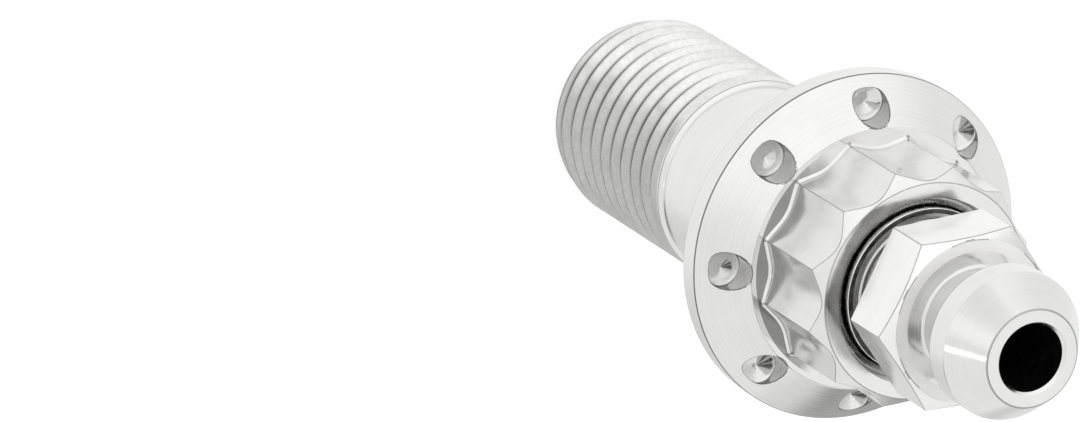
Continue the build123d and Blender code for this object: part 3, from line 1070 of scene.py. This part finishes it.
hexagon = points_round("hexagon", hexagon_outline(), hexagon_column, HEX_PHASE, HEX_SIDES)
NIPPLE_PHASE = HEX_PHASE - 180 / HEX_SIDES

# %% [markdown]
# ## The rest of the nipple
# Below the hexagon come a relief, an M8 thread and a foot with a sealing cone, which shuts the bolt's bore
# when the nipple is screwed down. A small hole crosses the foot into the nipple's own bore. Above the
# hexagon a neck carries the barb that holds the hose. All of it is turned, so it is drawn as outlines, and
# only the foot needs a cut. The step above the thread lies in shadow, so it takes the bore's dark steel.

# %% Weld the nipple
TIP_BOTTOM, SHANK_BOTTOM, SHANK, FOOT_TOP = 18.23, 19.53, 2.6, 21.75
THREAD_LOW, THREAD_HIGH, RELIEF = 21.93, 27.65, 3.45
NIPPLE_HOLE, NIPPLE_HOLE_ANGLE = 0.8, 10.0
NIPPLE_BORE, BORE_END = 1.6, (SHANK_BOTTOM + THREAD_LOW) / 2
DRILL_POINT = 0.961  # depth of the cone that the drill leaves at the bore's end
BARB, BORE_DARK = 3.5, NOSE - 1.2  # the barb's radius, and where the bore turns dark
nipple_thread = thread("nipple_thread", thread_steel, NIPPLE_PHASE,
                       Crest_radius=NIPPLE_THREAD, Root_radius=3.4, Bottom=THREAD_LOW, Top=THREAD_HIGH,
                       Lead_in_radius=SHANK, Lead_in_height=0.4, Start_fade=0.4,
                       Run_out_height=THREAD_HIGH - 0.85, Run_out_fade=0.3)
foot_outline = rounded((0, TIP_BOTTOM), (1.3, TIP_BOTTOM, 0.06), (SHANK, SHANK_BOTTOM, 0.08),
                       (SHANK, FOOT_TOP), (NIPPLE_BORE, FOOT_TOP), (NIPPLE_BORE, BORE_END),
                       (0, BORE_END - DRILL_POINT))
drill = cross_drill("nipple_drill", NIPPLE_HOLE, SHANK - 0.14, BORE_END, NIPPLE_HOLE_ANGLE)
foot = cross_drilled("nipple_foot", foot_outline, (FOOT_TOP,), NIPPLE_PHASE, drill)
thread_end, step = (NIPPLE_THREAD - 0.04, THREAD_HIGH + 0.05), (3.66, THREAD_HIGH + 0.09)
relief_top = (RELIEF, THREAD_HIGH + 0.63)
relief = rounded(step, (RELIEF, THREAD_HIGH + 0.12, 0.08), relief_top)
under_hexagon = rounded(relief_top, (RELIEF, HEX_BOTTOM, 0.1), (HEX_RING_LOW, HEX_BOTTOM))
barb = rounded((HEX_RING_TOP, HEX_TOP), (NECK, HEX_TOP, 0.2), (NECK, NECK_TOP, 0.06), (BARB, LAND_LOW, 0.08),
               (BARB, LAND_HIGH, 0.12), (2.325, NOSE, 0.1), (1.72, NOSE, 0.04),
               (NIPPLE_BORE, NOSE - 0.14, 0.04), (NIPPLE_BORE, BORE_DARK), steps=4)
nipple = welded("bleed_nipple_dressed", [
    foot, turned([(SHANK, FOOT_TOP), (SHANK, THREAD_LOW)], NIPPLE_PHASE), nipple_thread,
    turned([(NIPPLE_THREAD, THREAD_HIGH), thread_end], NIPPLE_PHASE),
    turned([thread_end, step], NIPPLE_PHASE, painted_shade_steel), turned(relief, NIPPLE_PHASE),
    turned(under_hexagon, NIPPLE_PHASE), hexagon, turned(barb, NIPPLE_PHASE),
    turned([(NIPPLE_BORE, BORE_DARK), (NIPPLE_BORE, FOOT_TOP)], NIPPLE_PHASE, painted_shade_steel),
])

# %% [markdown]
# ## The floor
# A plain pale floor lies under the standing bolt. It glows by itself, so that it stays nearly white right up
# to the bolt, and polished steel does not mirror it: the tent goes on below the floor and gives the steel a
# softer light. Without the glow, a floor this pale would need a light that bleaches the steel.

# %% Floor
FLOOR_HALF = 900.0  # mm
corners = [(x * FLOOR_HALF, y * FLOOR_HALF, 0) for x, y in ((-1, -1), (1, -1), (1, 1), (-1, 1))]
floor = placed("floor", mesh_from("floor", corners, [(0, 1, 2, 3)]))
paper = bpy.data.materials.new("floor_white")
paper.use_nodes = True
for label, value in (("Roughness", 0.6), ("Base Color", (0.4, 0.4, 0.4, 1)),
                     ("Emission Color", (1, 1, 1, 1)), ("Emission Strength", 0.75)):
    paper.node_tree.nodes["Principled BSDF"].inputs[label].default_value = value
floor.data.materials.append(paper)
floor.visible_glossy = False
print("floor reaches", FLOOR_HALF, "mm each way")

# %% [markdown]
# ## The light
# Polished steel shows nothing but its surroundings, so they are the real light of this scene: a white tent
# on every side, with soft patches that are brighter or darker than the rest. Dark patches give the facets
# their outlines, the four small ones high up are mirrored in the pockets, and the narrow bright one draws
# a thin streak down the upright faces. Lamps and cards round the bolt would do the same, but a tent that
# is a sum of patches is quicker to trace.

# %% Light
TENT = 0.93  # brightness of the tent before its patches
PATCHES = (  # azimuth, elevation, inner, outer in degrees, amount
    (125, 50, 15, 70, 0.24), (120, -65, 20, 70, 0.1), (195, 2, 4, 20, 0.17), (152, -2, 6, 26, -0.14),
    (32, 36, 8, 30, -0.22), (0, 57, 4, 14, 0.08), (338, -12, 6, 27, -0.5), (318, 2, 4, 18, -0.16),
    (318, -60, 8, 34, -0.2), (263, -32, 6, 24, -0.6), (335, 77, 8, 11, -0.45), (316, 69, 8, 11, -0.45),
    (320, 57, 8, 11, -0.45), (331, 46, 8, 11, -0.45), (226, 3, 2.3, 3.3, 2.5),
)
world = bpy.data.worlds.new("light_tent")
bpy.context.scene.world = world
world.use_nodes = True
tent = world.node_tree
direction = add_node(tent, "ShaderNodeTexCoord", "Generated")


def patch(azimuth, elevation, inner, outer, amount):
    """A soft round patch of the tent: full up to inner degrees from its middle, gone at outer."""
    dot = add_node(tent, "ShaderNodeVectorMath", "Value", {"operation": "DOT_PRODUCT"}, Vector=direction)
    across, up = unit(elevation)
    wire(tent, (*unit(azimuth) * across, up), dot.socket.node.inputs[1])
    return spread(dot, unit(outer)[0], unit(inner)[0], 0.0, amount)


level = TENT + patch(*PATCHES[0])
for sizes in PATCHES[1:]:
    level = level + patch(*sizes)
background = tent.nodes["Background"].inputs
wire(tent, level, background["Strength"])
background["Color"].default_value = (1, 1, 1, 1)
bpy.context.scene.view_settings.view_transform = "Standard"
print("tent has", len(PATCHES), "patches")

# %% [markdown]
# ## Hand over
# Each piece rides on its body and stands for its plain solid.

# %% Bodies and finish
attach(bolt, "bolt")
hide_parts("banjo_bolt")
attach(nipple, "nipple")
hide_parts("bleed_nipple")
